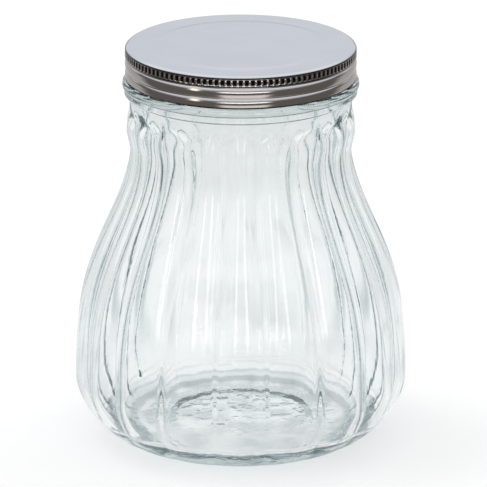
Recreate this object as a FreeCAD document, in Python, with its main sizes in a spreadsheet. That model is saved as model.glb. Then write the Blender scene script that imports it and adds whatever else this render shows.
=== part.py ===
"""Lobed storage jar: a pear-shaped moulded glass jar with a screw lid of formed steel sheet.

Millimetres, +Z up, origin at the middle of the foot.  A lobe faces -Y.  The sheet "Sizes" holds
the driving sizes, and every sketch reads its sizes from there.
"""
import FreeCAD, Part
import math
import os

import Sketcher

SIZES = [
    # the lobed glass body
    ("lobe_count", 18, "lobes around the body"),
    ("foot_radius", 51.0, "radius where the lobes leave the ground"),
    ("belly_radius", 78.0, "radius over the lobes at their widest"),
    ("belly_height", 30.0, "height of the widest ring"),
    ("heel_power", 1.68, "roundness of the heel: 2 is an ellipse, less is flatter"),
    ("body_height", 159.0, "height where the lobes run out on the neck"),
    ("waist_stand", 0.3, "how far the lobes stand out of the neck at the waist"),
    ("waist_drop", 19.0, "waist below the top of the lobes"),
    ("flank_skew", 1.434, "1 is an even S from belly to waist, more keeps the belly full"),
    ("brow_stand", 1.9, "how far the lobes stand out of the neck at the brow over the waist"),
    ("brow_drop", 9.5, "brow below the top of the lobes"),
    ("crease_depth", 3.7, "depth of the creases between the lobes, above the heel"),
    ("crease_fade", 0.7, "power of the height with which the creases fade down the heel"),
    ("lobe_tuck", 0.5, "how far the lobes dive under the neck where they run out"),
    ("wall", 2.6, "glass left under a crease"),
    ("lobe_wall", 3.6, "glass under the middle of a lobe"),
    ("floor_thickness", 6.5, "glass at the floor"),
    ("floor_round", 5.0, "height over which the floor rounds up into the wall"),
    ("foot_land", 11.0, "foot from the lobes in to the edge of the hollow under it"),
    ("push_up_depth", 3.0, "depth of the hollow under the foot"),
    # the plain neck, the collar under the lid and the finish inside the lid
    ("neck_step", 0.9, "how far the plain neck stands out of the finish"),
    ("neck_height", 9.4, "top of the lobes to the underside of the collar"),
    ("neck_fade", 15.0, "length over which the neck fills the creases"),
    ("shoulder_tuck", 0.7, "how far the shoulder lies inside the collar's outer edge"),
    ("shoulder_height", 6.4, "height of the shoulder under the collar"),
    ("shoulder_taper", 0.4, "how much narrower the shoulder is half way down"),
    ("collar_overhang", 2.0, "how far the collar stands out of the lid's skirt"),
    ("collar_height", 4.5, "height of the collar"),
    ("finish_height", 14.3, "top of the collar to the rim"),
    ("finish_wall", 4.3, "glass between the mouth and the finish"),
    ("rim_round", 1.2, "rounding of the rim's edges"),
    # the lid
    ("skirt_radius", 53.0, "radius of the skirt between its beads"),
    ("skirt_bulge", 0.7, "how far the band and the beads stand out of the skirt"),
    ("sheet", 0.5, "thickness of the steel sheet"),
    ("thread_room", 1.7, "room between the skirt and the finish"),
    ("lid_gap", 0.3, "gap between the skirt's hem and the collar"),
    ("band_height", 5.2, "height of the knurled band, from the top down"),
    ("band_round", 2.4, "rounding of the lid's shoulder"),
    ("band_land", 0.5, "level strip inside the lid's rounded shoulder"),
    ("bead_round", 2.0, "radius of a bead's section"),
    ("panel_margin", 13.6, "skirt in to the edge of the raised panel"),
    ("panel_rise", 0.6, "panel above the channel around it"),
    ("channel_dip", 0.4, "channel around the panel below the shoulder"),
    ("lid_crown", 1.0, "shoulder of the lid above the rim"),
    ("knurl_count", 120, "knurls around the band"),
    ("knurl_height", 2.8, "height of a knurl"),
    ("knurl_drop", 0.95, "top of a knurl below the shoulder"),
    ("knurl_depth", 0.5, "depth of the flutes between the knurls"),
    ("knurl_flute", 0.95, "radius of the flutes between the knurls"),
]
BEADS = 2            # rolled thread beads on the skirt
HEEL_STATIONS = 7    # sections from the foot to the belly
FLANK_STATIONS = 8   # sections from the belly to the waist
QUARTER_BEND = 0.3   # half way round a quarter circle, as a share of its radius
SLOPE_RUN = 2        # run for each unit of rise on the lid's step and around the hollow foot
FULL_TURN = 360.0    # degrees
OVERLAP = 1.0        # how far a cut runs past the face it opens
LEAST_CUT = 1.0      # mm3 that a cut has to remove
EDGE_MATCH = 0.01    # how near an edge lies to the ring that names it


def cell(name):
    """The expression that reads one size of the sheet."""
    return f"Sizes.{name}"


def make_sheet(doc):
    sheet = doc.addObject("Spreadsheet::Sheet", "Sizes")
    for row, (name, number, words) in enumerate(SIZES, start=1):
        sheet.set(f"A{row}", name)
        sheet.set(f"B{row}", str(number))
        sheet.set(f"C{row}", words)
        sheet.setAlias(f"B{row}", name)
    doc.recompute()
    return sheet


def number(sheet, expression):
    """The value of an expression in plain millimetres or degrees."""
    result = sheet.evalExpression(expression)
    return float(getattr(result, "Value", result))


# ---- heights and radii, as expressions on the sheet -------------------------------------------

WAIST_HEIGHT = f"({cell('body_height')} - {cell('waist_drop')})"
BROW_HEIGHT = f"({cell('body_height')} - {cell('brow_drop')})"
COLLAR_BOTTOM = f"({cell('body_height')} + {cell('neck_height')})"
COLLAR_TOP = f"({COLLAR_BOTTOM} + {cell('collar_height')})"
RIM_HEIGHT = f"({COLLAR_TOP} + {cell('finish_height')})"
FINISH_RADIUS = f"({cell('skirt_radius')} - {cell('sheet')} - {cell('thread_room')})"
MOUTH_RADIUS = f"({FINISH_RADIUS} - {cell('finish_wall')})"
NECK_RADIUS = f"({FINISH_RADIUS} + {cell('neck_step')})"
WAIST_RADIUS = f"({NECK_RADIUS} + {cell('waist_stand')})"
BROW_RADIUS = f"({NECK_RADIUS} + {cell('brow_stand')})"
COLLAR_RADIUS = f"({cell('skirt_radius')} + {cell('collar_overhang')})"
SHOULDER_RADIUS = f"({COLLAR_RADIUS} - {cell('shoulder_tuck')})"
PUSH_UP_RADIUS = f"({cell('foot_radius')} - {cell('foot_land')})"
HEM_HEIGHT = f"({COLLAR_TOP} + {cell('lid_gap')})"
LID_TOP = f"({RIM_HEIGHT} + {cell('lid_crown')})"
BAND_BOTTOM = f"({LID_TOP} - {cell('band_height')})"
BAND_RADIUS = f"({cell('skirt_radius')} + {cell('skirt_bulge')})"
CHANNEL_HEIGHT = f"({LID_TOP} - {cell('channel_dip')})"
PANEL_HEIGHT = f"({CHANNEL_HEIGHT} + {cell('panel_rise')})"
INNER_RADIUS = f"({cell('skirt_radius')} - {cell('sheet')})"
PANEL_RADIUS = f"({cell('skirt_radius')} - {cell('panel_margin')})"
INNER_DEPTH = f"({cell('crease_depth')} + {cell('wall')} - {cell('lobe_wall')})"


def heel_station(turn):
    """Height, radius and crease depth on the heel, from the foot (turn 0) to the belly (turn 1).

    The heel is a superellipse, and its creases fade out towards the foot.
    """
    lowness = math.cos(turn * math.pi / 2)
    height = f"({cell('belly_height')} * {1 - lowness:.6f})"
    power = cell("heel_power")
    spread = f"(1 - {lowness:.6f} ^ {power}) ^ (1 / {power})"
    foot, belly = cell("foot_radius"), cell("belly_radius")
    depth = f"({cell('crease_depth')} * {1 - lowness:.6f} ^ {cell('crease_fade')})"
    return height, f"({foot} + ({belly} - {foot}) * {spread})", depth


def flank_station(share):
    """Height, radius and crease depth on the flank, a skewed cosine from the belly to the waist."""
    belly, waist = cell("belly_radius"), WAIST_RADIUS
    height = f"({cell('belly_height')} + ({WAIST_HEIGHT} - {cell('belly_height')}) * {share:.6f})"
    fullness = f"(0.5 + 0.5 * cos(180 deg * {share:.6f} ^ {cell('flank_skew')}))"
    return height, f"({waist} + ({belly} - {waist}) * {fullness})", cell("crease_depth")


def body_stations():
    """Name, height, radius over the lobes and crease depth of the body's sections, foot to top."""
    stations = []
    for step in range(HEEL_STATIONS):
        stations.append((f"heel{step}", *heel_station(step / HEEL_STATIONS)))
    for step in range(FLANK_STATIONS + 1):
        stations.append((f"flank{step}", *flank_station(step / FLANK_STATIONS)))
    stations.append(("brow", BROW_HEIGHT, BROW_RADIUS, cell("crease_depth")))
    tuck = f"({NECK_RADIUS} - {cell('lobe_tuck')})"
    stations.append(("lobe_top", cell("body_height"), tuck, cell("crease_depth")))
    return stations


def inner_stations():
    """Name, height, radius over the lobes and crease depth of the inside, floor to neck."""
    floor, bend = cell("floor_thickness"), cell("floor_round")
    rounded = f"({floor} + {bend})"
    foot, belly, power = cell("foot_radius"), cell("belly_radius"), cell("heel_power")
    lowness = f"(1 - {rounded} / {cell('belly_height')})"
    spread = f"(1 - {lowness} ^ {power}) ^ (1 / {power})"
    edge = f"({foot} + ({belly} - {foot}) * {spread} - {cell('lobe_wall')})"
    fade = f"({rounded} / {cell('belly_height')}) ^ {cell('crease_fade')}"
    edge_depth = f"({INNER_DEPTH} * {fade})"
    stations = [
        ("floor", floor, f"({edge} - {bend})", "0"),
        ("floor_bend", f"({floor} + {bend} * {QUARTER_BEND})", f"({edge} - {bend} * {QUARTER_BEND})",
         f"({edge_depth} / 2)"),
        ("floor_edge", rounded, edge, edge_depth),
    ]
    for step in range(FLANK_STATIONS + 1):
        height, radius, _ = flank_station(step / FLANK_STATIONS)
        stations.append((f"inner{step}", height, f"({radius} - {cell('lobe_wall')})", INNER_DEPTH))
    stations.append(("inner_neck", cell("body_height"), MOUTH_RADIUS, "0"))
    return stations


# ---- sketch helpers ---------------------------------------------------------------------------

def origin_feature(body, role):
    return next(item for item in body.Origin.OriginFeatures if item.Role == role)


def new_sketch(body, name, role):
    sketch = body.newObject("Sketcher::SketchObject", name)
    sketch.AttachmentSupport = [(origin_feature(body, role), "")]
    sketch.MapMode = "FlatFace"
    return sketch


def level_sketch(body, name, height):
    """A sketch on a level plane, at a height that is an expression."""
    sketch = new_sketch(body, name, "XY_Plane")
    sketch.setExpression("AttachmentOffset.Base.z", height)
    return sketch


def constrain(sketch, name, expression, *arguments):
    """Add a named size to a sketch and bind it to an expression."""
    index = sketch.addConstraint(Sketcher.Constraint(*arguments))
    sketch.renameConstraint(index, name)
    sketch.setExpression(f"Constraints.{name}", expression)


def lobe_section(sheet, body, name, height, peak, depth):
    """One lobe cut level: two creases joined to the axis, and the arc over the lobe.

    The arc runs through both creases and the lobe's peak, so its radius follows from the chord
    between the creases and the rise of the peak over that chord.
    """
    crease = f"({peak} - {depth})"
    half_angle = f"(180 deg / {cell('lobe_count')})"
    half_chord = f"({crease} * sin({half_angle}))"
    rise = f"({peak} - {crease} * cos({half_angle}))"
    round_over = f"(({half_chord} ^ 2 + {rise} ^ 2) / (2 * {rise}))"

    sketch = level_sketch(body, name, height)
    angle = math.radians(number(sheet, half_angle))
    radius = number(sheet, round_over)
    centre = number(sheet, peak) - radius
    reach, side = number(sheet, crease) * math.cos(angle), number(sheet, half_chord)
    left = FreeCAD.Vector(-side, -reach, 0)
    right = FreeCAD.Vector(side, -reach, 0)
    axis = FreeCAD.Vector(0, 0, 0)
    circle = Part.Circle(FreeCAD.Vector(0, -centre, 0), FreeCAD.Vector(0, 0, 1), radius)
    sweep = math.atan2(side, reach - centre)
    front = -math.pi / 2
    sketch.addGeometry(Part.LineSegment(axis, left))
    sketch.addGeometry(Part.ArcOfCircle(circle, front - sweep, front + sweep))
    sketch.addGeometry(Part.LineSegment(right, axis))
    sketch.addConstraint(Sketcher.Constraint("Coincident", 0, 1, -1, 1))
    sketch.addConstraint(Sketcher.Constraint("Coincident", 2, 2, -1, 1))
    sketch.addConstraint(Sketcher.Constraint("Coincident", 0, 2, 1, 1))
    sketch.addConstraint(Sketcher.Constraint("Coincident", 1, 2, 2, 1))
    sketch.addConstraint(Sketcher.Constraint("PointOnObject", 1, 3, -2))
    constrain(sketch, "crease", crease, "Distance", 0, number(sheet, crease))
    constrain(sketch, "opening", f"(2 * {half_angle})", "Angle", 0, 1, 2, 2, 2 * angle)
    constrain(sketch, "round_over", round_over, "Radius", 1, radius)
    return sketch


def outline_sketch(sheet, body, name, corners):
    """A closed outline in the XZ plane: straight lines between corners (radius, height)."""
    sketch = new_sketch(body, name, "XZ_Plane")
    points = [FreeCAD.Vector(number(sheet, x), number(sheet, z), 0) for x, z in corners]
    for index, point in enumerate(points):
        sketch.addGeometry(Part.LineSegment(point, points[(index + 1) % len(points)]))
    for index, (radius, height) in enumerate(corners):
        sketch.addConstraint(Sketcher.Constraint("Coincident", index - 1 if index else len(corners) - 1,
                                                 2, index, 1))
        place_point(sketch, index, 1, f"corner{index}", radius, height, points[index])
    return sketch


def place_point(sketch, geometry, end, name, radius, height, point):
    """Bind a point of a sketch to a radius and a height; a radius of 0 lies on the axis."""
    if radius == "0":
        sketch.addConstraint(Sketcher.Constraint("PointOnObject", geometry, end, -2))
    else:
        constrain(sketch, f"{name}_radius", radius, "DistanceX", -1, 1, geometry, end, point.x)
    if height == "0":
        sketch.addConstraint(Sketcher.Constraint("PointOnObject", geometry, end, -1))
    else:
        constrain(sketch, f"{name}_height", height, "DistanceY", -1, 1, geometry, end, point.y)


def bead_sketch(sheet, body, name, radius, height, round_over):
    """A circle in the XZ plane, for a round bead whose outermost point is at a radius."""
    sketch = new_sketch(body, name, "XZ_Plane")
    middle = f"({radius} - {round_over})"
    size = number(sheet, round_over)
    point = FreeCAD.Vector(number(sheet, middle), number(sheet, height), 0)
    sketch.addGeometry(Part.Circle(point, FreeCAD.Vector(0, 0, 1), size))
    constrain(sketch, "round_over", round_over, "Radius", 0, size)
    place_point(sketch, 0, 3, "middle", middle, height, point)
    return sketch


# ---- feature helpers --------------------------------------------------------------------------

def turned(body, kind, name, sketch):
    """A full turn of a sketch about Z: kind is Revolution or Groove."""
    feature = body.newObject(f"PartDesign::{kind}", name)
    feature.Profile = sketch
    feature.ReferenceAxis = (origin_feature(body, "Z_Axis"), [""])
    feature.Angle = FULL_TURN
    body.Tip = feature
    return feature


def lofted(body, kind, name, sketches):
    """A smooth loft through sketches: kind is AdditiveLoft or SubtractiveLoft."""
    feature = body.newObject(f"PartDesign::{kind}", name)
    feature.Profile = sketches[0]
    feature.Sections = sketches[1:]
    feature.Ruled = False
    body.Tip = feature
    return feature


def repeated(body, name, original, count):
    """A polar pattern of a feature about Z; count is an expression."""
    feature = body.newObject("PartDesign::PolarPattern", name)
    feature.Originals = [original]
    feature.Axis = (origin_feature(body, "Z_Axis"), [""])
    feature.Angle = FULL_TURN
    feature.setExpression("Occurrences", count)
    body.Tip = feature
    return feature


def filleted(doc, sheet, body, name, base, rings, radius):
    """Round the level circular edges of base that lie at the (radius, height) pairs of rings."""
    doc.recompute()
    wanted = [(number(sheet, ring), number(sheet, height)) for ring, height in rings]
    edges = []
    for index, edge in enumerate(base.Shape.Edges, start=1):
        if not isinstance(edge.Curve, Part.Circle):
            continue
        place = (edge.Curve.Radius, edge.Curve.Center.z)
        if any(math.dist(place, ring) < EDGE_MATCH for ring in wanted):
            edges.append(f"Edge{index}")
    if not edges:
        raise RuntimeError(f"{name}: no edge to round")
    feature = body.newObject("PartDesign::Fillet", name)
    feature.Base = (base, edges)
    feature.setExpression("Radius", radius)
    body.Tip = feature
    return feature


def check_cut(doc, before, after):
    """A cut that points away from the solid removes nothing and shows no error."""
    doc.recompute()
    if not after.Shape.Volume < before.Shape.Volume - LEAST_CUT:
        raise RuntimeError(f"{after.Name} removes nothing")


# ---- the jar ----------------------------------------------------------------------------------

def make_jar(doc, sheet):
    body = doc.addObject("PartDesign::Body", "jar")
    body.Label = "jar"

    sections = [lobe_section(sheet, body, *station) for station in body_stations()]
    lobe = lofted(body, "AdditiveLoft", "lobe", sections)
    lobes = repeated(body, "lobes", lobe, cell("lobe_count"))

    neck_foot = f"({cell('body_height')} - {cell('neck_fade')})"
    crease_floor = f"({WAIST_RADIUS} - {cell('crease_depth')})"
    shoulder_bottom = f"({COLLAR_BOTTOM} - {cell('shoulder_height')})"
    shoulder_middle = f"({COLLAR_BOTTOM} - {cell('shoulder_height')} / 2)"
    neck_outline = outline_sketch(sheet, body, "neck_outline", [
        ("0", neck_foot),
        (crease_floor, neck_foot),
        (NECK_RADIUS, cell("body_height")),
        (NECK_RADIUS, shoulder_bottom),
        (f"({SHOULDER_RADIUS} - {cell('shoulder_taper')})", shoulder_middle),
        (SHOULDER_RADIUS, COLLAR_BOTTOM),
        (SHOULDER_RADIUS, COLLAR_TOP),
        (FINISH_RADIUS, COLLAR_TOP),
        (FINISH_RADIUS, RIM_HEIGHT),
        ("0", RIM_HEIGHT),
    ])
    neck = turned(body, "Revolution", "neck", neck_outline)
    collar_middle = f"({COLLAR_BOTTOM} + {cell('collar_height')} / 2)"
    collar_sketch = bead_sketch(sheet, body, "collar_section", COLLAR_RADIUS, collar_middle,
                                f"({cell('collar_height')} / 2)")
    collar = turned(body, "Revolution", "collar", collar_sketch)

    hollows = [lobe_section(sheet, body, *station) for station in inner_stations()]
    hollow = lofted(body, "SubtractiveLoft", "hollow", hollows)
    check_cut(doc, collar, hollow)
    inside = repeated(body, "inside", hollow, cell("lobe_count"))
    check_cut(doc, hollow, inside)

    mouth_outline = outline_sketch(sheet, body, "mouth_outline", [
        ("0", f"({cell('body_height')} - {OVERLAP})"),
        (MOUTH_RADIUS, f"({cell('body_height')} - {OVERLAP})"),
        (MOUTH_RADIUS, f"({RIM_HEIGHT} + {OVERLAP})"),
        ("0", f"({RIM_HEIGHT} + {OVERLAP})"),
    ])
    mouth = turned(body, "Groove", "mouth", mouth_outline)
    check_cut(doc, inside, mouth)

    push_outline = outline_sketch(sheet, body, "push_up_outline", [
        ("0", f"(-{OVERLAP})"),
        (PUSH_UP_RADIUS, f"(-{OVERLAP})"),
        (PUSH_UP_RADIUS, "0"),
        (f"({PUSH_UP_RADIUS} - {cell('push_up_depth')} * {SLOPE_RUN})", cell("push_up_depth")),
        ("0", cell("push_up_depth")),
    ])
    push_up = turned(body, "Groove", "push_up", push_outline)
    check_cut(doc, mouth, push_up)

    filleted(doc, sheet, body, "rim_edges", push_up,
             [(FINISH_RADIUS, RIM_HEIGHT), (MOUTH_RADIUS, RIM_HEIGHT)], cell("rim_round"))
    return body


# ---- the lid ----------------------------------------------------------------------------------

def make_lid(doc, sheet):
    body = doc.addObject("PartDesign::Body", "lid")
    body.Label = "lid"

    step = cell("panel_rise")
    shell_outline = outline_sketch(sheet, body, "lid_outline", [
        ("0", HEM_HEIGHT),
        (cell("skirt_radius"), HEM_HEIGHT),
        (cell("skirt_radius"), BAND_BOTTOM),
        (BAND_RADIUS, f"({BAND_BOTTOM} + {cell('skirt_bulge')})"),
        (BAND_RADIUS, LID_TOP),
        (f"({BAND_RADIUS} - {cell('band_round')} - {cell('band_land')})", LID_TOP),
        (f"({PANEL_RADIUS} + {step} * {SLOPE_RUN})", CHANNEL_HEIGHT),
        (PANEL_RADIUS, PANEL_HEIGHT),
        ("0", PANEL_HEIGHT),
    ])
    shell = turned(body, "Revolution", "lid_shell", shell_outline)
    shoulder = filleted(doc, sheet, body, "lid_shoulder", shell, [(BAND_RADIUS, LID_TOP)], cell("band_round"))

    knurl_top = f"({LID_TOP} - {cell('knurl_drop')})"
    flute_sketch = level_sketch(body, "flute_section", knurl_top)
    flute_middle = f"({BAND_RADIUS} + {cell('knurl_flute')} - {cell('knurl_depth')})"
    middle = FreeCAD.Vector(number(sheet, flute_middle), 0, 0)
    flute_size = number(sheet, cell("knurl_flute"))
    flute_sketch.addGeometry(Part.Circle(middle, FreeCAD.Vector(0, 0, 1), flute_size))
    constrain(flute_sketch, "flute", cell("knurl_flute"), "Radius", 0, flute_size)
    flute_sketch.addConstraint(Sketcher.Constraint("PointOnObject", 0, 3, -1))
    constrain(flute_sketch, "middle", flute_middle, "DistanceX", -1, 1, 0, 3, middle.x)
    flute = body.newObject("PartDesign::Pocket", "flute")
    flute.Profile = flute_sketch
    flute.setExpression("Length", cell("knurl_height"))
    body.Tip = flute
    check_cut(doc, shoulder, flute)
    repeated(body, "knurls", flute, cell("knurl_count"))

    below_band = f"({BAND_BOTTOM} - {HEM_HEIGHT})"
    for bead in range(BEADS):
        share = (bead + 0.5) / BEADS
        height = f"({HEM_HEIGHT} + {below_band} * {share:.4f})"
        section = bead_sketch(sheet, body, f"bead{bead}_section", BAND_RADIUS, height, cell("bead_round"))
        last = turned(body, "Revolution", f"bead{bead}", section)

    seat = RIM_HEIGHT
    panel_under = f"({PANEL_HEIGHT} - {cell('sheet')})"
    hollow_outline = outline_sketch(sheet, body, "hollow_outline", [
        ("0", f"({HEM_HEIGHT} - {OVERLAP})"),
        (INNER_RADIUS, f"({HEM_HEIGHT} - {OVERLAP})"),
        (INNER_RADIUS, f"({seat} - {cell('sheet')})"),
        (f"({INNER_RADIUS} - {cell('sheet')})", seat),
        (PANEL_RADIUS, seat),
        (f"({PANEL_RADIUS} - {step} * {SLOPE_RUN})", panel_under),
        ("0", panel_under),
    ])
    hollow = turned(body, "Groove", "hollow", hollow_outline)
    check_cut(doc, last, hollow)
    return body


# ---- the whole --------------------------------------------------------------------------------

def check(doc, parts):
    """Stop if any object of the document failed or any part isn't one valid solid."""
    for item in doc.Objects:
        if "Invalid" in item.State or "Error" in item.State:
            raise RuntimeError(f"{item.Name}: {item.State}")
    for part in parts:
        shape = part.Shape
        if shape.isNull() or not shape.isValid():
            raise RuntimeError(f"{part.Label} has no valid shape")
        if len(shape.Solids) != 1:
            raise RuntimeError(f"{part.Label} is {len(shape.Solids)} solids")


def main():
    doc = FreeCAD.newDocument("lobed_jar")
    sheet = make_sheet(doc)
    parts = [make_jar(doc, sheet), make_lid(doc, sheet)]
    doc.recompute()
    check(doc, parts)
    os.makedirs("parts", exist_ok=True)
    for part in parts:
        part.Shape.exportStep(os.path.join("parts", f"{part.Label}.step"))
        box = part.Shape.BoundBox
        print(f"{part.Label}: {part.Shape.Volume / 1000:.1f} cm3, {box.XLength:.2f} x {box.YLength:.2f} x "
              f"{box.ZLength:.2f} mm, z {box.ZMin:.2f} to {box.ZMax:.2f}")


main()
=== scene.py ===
"""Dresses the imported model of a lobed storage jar: a clear glass body under a formed steel lid.

The file is laid out as an add-on and is run as a script.  Lengths are in metres, +Z is up, and
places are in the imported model's own frame: the origin is the middle of the foot, and -Y is the
front.  Each piece is one closed surface, worked out on a grid of angles and profile points.
"""
import math

import bpy
import numpy as np
from bpy.props import FloatProperty, FloatVectorProperty, IntProperty, PointerProperty
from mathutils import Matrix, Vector


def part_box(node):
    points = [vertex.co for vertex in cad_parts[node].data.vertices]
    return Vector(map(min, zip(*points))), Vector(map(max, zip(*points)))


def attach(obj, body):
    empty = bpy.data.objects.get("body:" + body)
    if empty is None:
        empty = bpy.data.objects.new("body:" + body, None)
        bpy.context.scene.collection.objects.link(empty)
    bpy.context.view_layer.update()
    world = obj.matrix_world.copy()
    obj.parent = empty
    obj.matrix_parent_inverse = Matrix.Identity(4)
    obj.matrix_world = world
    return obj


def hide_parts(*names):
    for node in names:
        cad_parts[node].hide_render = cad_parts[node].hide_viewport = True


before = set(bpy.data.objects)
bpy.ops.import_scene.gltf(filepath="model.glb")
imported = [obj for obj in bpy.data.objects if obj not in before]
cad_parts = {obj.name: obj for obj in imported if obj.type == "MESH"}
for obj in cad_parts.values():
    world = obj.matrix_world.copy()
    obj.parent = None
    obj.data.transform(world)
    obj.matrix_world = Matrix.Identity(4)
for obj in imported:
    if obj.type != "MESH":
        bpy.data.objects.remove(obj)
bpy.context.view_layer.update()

bl_info = {
    "name": "Lobed storage jar",
    "version": (1, 0, 0),
    "blender": (4, 5, 0),
    "location": "View3D > Sidebar > Jar",
    "description": "Glass body, steel lid and studio of a lobed storage jar",
    "category": "Add Mesh",
}

_, JAR_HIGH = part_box("jar")
LID_LOW, LID_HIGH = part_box("lid")

MM = 0.001

# ---- the grids --------------------------------------------------------------------------------

COLUMNS_PER_LOBE = 18     # grid columns across one lobe
LOBE_CROWDING = 1.5       # more than 1 crowds the columns towards the creases
HEEL_ROWS = 26
FLANK_ROWS = 80
NECK_ROWS = 22
WALL_ROWS = 84
FLOOR_ROWS = 10
FLOOR_LEVELS = (0.97, 0.93, 0.87, 0.8, 0.72, 0.6, 0.4, 0.2, 0.0)   # shares of the floor's radius
COLUMNS_PER_KNURL = 6     # grid columns across one knurl
SKIRT_ROWS = 44           # rows over the two beads
BAND_ROWS = 14            # rows along the upright part of the knurled band
RIM_SHARES = (0.05, 0.2, 0.4, 0.6, 0.8)   # rows from the lid's rim in to the step of its panel
UNDER_STEP = 3            # the lid's underside keeps one row in so many of the outside's
ARC_POINTS = 6            # points along a rounded corner
NEARLY_STRAIGHT = 1e-6    # a corner this near to straight gets no arc, in radians

# ---- fixed sizes of the glass -----------------------------------------------------------------

HOLLOW_PROFILE = (        # under the foot, from the middle out: (radius, height, round) in mm
    (0.0, 3.0, 0.0),
    (20.0, 3.0, 0.0),
    (34.0, 3.0, 2.0),
    (40.5, 0.25, 1.2),
    (44.5, 0.05, 2.0),
    (47.0, 0.0, 0.0),
)
COLLAR_PROFILE = (        # above the neck, from below: (radius, height, round) in mm
    (54.2, 165.9, 1.0),   # foot of the ring under the collar
    (54.35, 168.9, 0.3),  # its top
    (55.0, 169.4, 0.9),   # foot of the collar
    (55.0, 172.4, 1.9),   # its top
    (50.8, 172.4, 0.4),   # foot of the finish that the lid covers
)
NECK_END = 165.0 * MM     # height where the plain neck turns out to the ring
NECK_END_ROUND = 1.0 * MM
PLAIN_NECK = 3.5 * MM     # from the top of the lobes to the plain neck
NECK_BLEND = 0.35 * MM    # softness of the change from lobes to neck
FINISH_RADIUS = 50.8 * MM
RIM_RADIUS = 48.6 * MM    # middle of the rim's top
RIM_ROUND = 1.2 * MM
MOUTH_FOOT = 8.0 * MM     # the round mouth ends this far above the lobes
WALL_TOP = 6.0 * MM       # and the wall's rows start this far above them
HEEL_HEIGHT = 14.0 * MM   # height over which the extra glass of the heel fades out
BEND_ROUNDING = 0.7       # how far the floor's edge has lost its lobes where it ends
DISH_POWER = 4.0          # more makes the floor flatter in its middle

WAVE_SEED = 7             # seed of the unevenness of the glass
WAVE_COUNTS = (3, 5, 9, 13, 22, 31, 40)   # upright waves around the inner wall
WAVE_LEAN = 25.0          # how fast a wave drifts around, in radians for each metre of height
WAVE_SWELL = 60.0         # how fast it swells and fades, in radians for each metre of height
WAVE_STEADY = 0.6         # share of a wave's size that does not swell and fade

# ---- fixed sizes of the lid -------------------------------------------------------------------

HEM_DROP = 0.5 * MM       # the hem ends this far below the solid's
SHOULDER_FALL = 0.2 * MM  # the shoulder lies this far below the panel
BEAD_END = 5.8 * MM       # the beads end this far below the shoulder
BEAD_POWER = 0.7          # less makes the beads fuller
BAND_FOOT = 0.9 * MM      # the band starts this far above the beads
BAND_FOOT_ROUND = 0.8 * MM
BAND_LOW = 1.8 * MM       # the band's upright rows start this far above the beads
BAND_HIGH = 1.9 * MM      # and end this far below the shoulder
BEVEL_HEIGHT = 0.9 * MM   # the bevel between the band and the rim
BEVEL_WIDTH = 1.6 * MM
BEVEL_ROUND = 1.2 * MM
RIM_INSET = 2.0 * MM      # the rim's level part starts this far inside the band
STEP_WIDTH = 3.0 * MM     # the slope from the rim up to the panel
STEP_ROUND = 3.0 * MM
PANEL_INSETS = (0.6 * MM, 4.0 * MM)       # rows of the panel inside its edge
RIB_POWER = 3.0           # more makes the knurls narrower
KNURL_FADE = 0.4 * MM     # height over which the flutes run out

# ---- finish of the glass and the steel, and shade painted on them -----------------------------

GLASS_UNEVEN = {"Broad Scale": 55.0, "Fine Scale": 230.0, "Fine Share": 0.25}
GLASS_STRETCH = (1.0, 1.0, 0.12)          # the unevenness is drawn out upright
GLASS_PATCH = (0.975, 0.99, 0.988)        # its tone in patches, beside pure white
RIPPLE_SCALE = 110.0
RIPPLE_HEIGHTS = (8.0 * MM, 24.0 * MM)    # the base's ripples fade out between these
COLLAR_PAINTED_SHADE = (168.7 * MM, 172.2 * MM, 0.3 * MM)    # low, high and softness of the shade and lid reflection painted on the collar
COLLAR_SHADE_REACH = (1.0 * MM, 2.0 * MM)       # the collar's painted shade starts this far outside the neck
STEEL_UNEVEN = {"Broad Scale": 35.0, "Fine Scale": 700.0, "Fine Share": 0.1}
STEEL_WORN = 0.97                         # patches of the steel are this much darker
GLOSS_RANGE = (0.96, 1.06)                # and its roughness varies over these shares
LEVEL_UP = (0.90, 0.995)                  # upward part of the normal: this is a level face
LEVEL_ROUGHNESS = 0.10                    # which is rougher by this much
SKIRT_SHADE_UP = (0.2, 0.5)                     # below this upward part of the normal a face gets the skirt's painted shade
PAINTED_SHADE = (0.02, 0.018, 0.017)             # colour of the shade painted in narrow places of the lid: the band and its flutes, and the hem
BAND_SHADE_REACH = (2.0 * MM, 1.4 * MM)         # the band's painted shade starts this far inside its radius
BAND_SHADE_SPAN = (5.3 * MM, 0.7 * MM, 0.2 * MM)    # ends of the band's painted shade below the shoulder, and softness
FLUTE_SHARES = (0.7, 0.2)                 # shares of the knurls' depth over which the painted shade in the flutes fades out
KNURL_END_SOFT = 0.1 * MM                 # softness of the painted shade above and below the knurls
HEM_PAINTED_SHADOW = (0.1 * MM, 0.5 * MM)           # painted shadow of the gap above the collar: the hem is dark up to between these, over the solid's
UNEVEN_PATCHES = (0.35, 0.65)             # noise over which a patch of either finish starts

# ---- light ------------------------------------------------------------------------------------

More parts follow.
